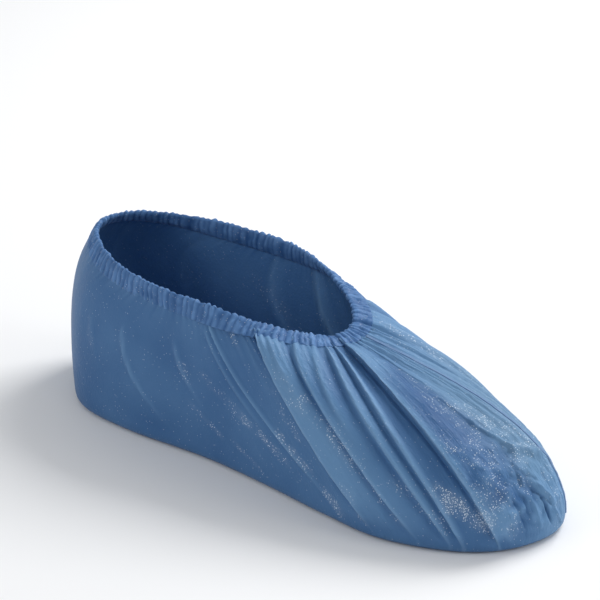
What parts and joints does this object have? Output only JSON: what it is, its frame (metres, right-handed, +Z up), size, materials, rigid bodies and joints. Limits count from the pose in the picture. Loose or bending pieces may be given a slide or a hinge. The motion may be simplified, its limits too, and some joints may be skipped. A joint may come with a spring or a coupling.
{
  "type": "shoe cover",
  "caption": "Disposable blue film overshoe with a gathered elastic opening, fan pleats over the instep and a flat sole, standing open as worn.",
  "frame": {"origin": "on the floor under the middle of the flat sole", "axes": "+X to the toe, -Y to the outer side of the foot, +Z up"},
  "size_m": [0.3124, 0.1017, 0.0945],
  "materials": {
    "film": "embossed translucent blue polyethylene film with a soft sheen",
    "hem": "doubled and gathered blue film",
    "elastic": "plain pale elastic",
    "weld": "heat-welded blue film, a little paler"
  },
  "bodies": {
    "root": {"film_shell": "film", "hem_casing": "hem", "elastic_band": "elastic", "toe_weld": "weld", "heel_weld": "weld"}
  },
  "joints": []
}
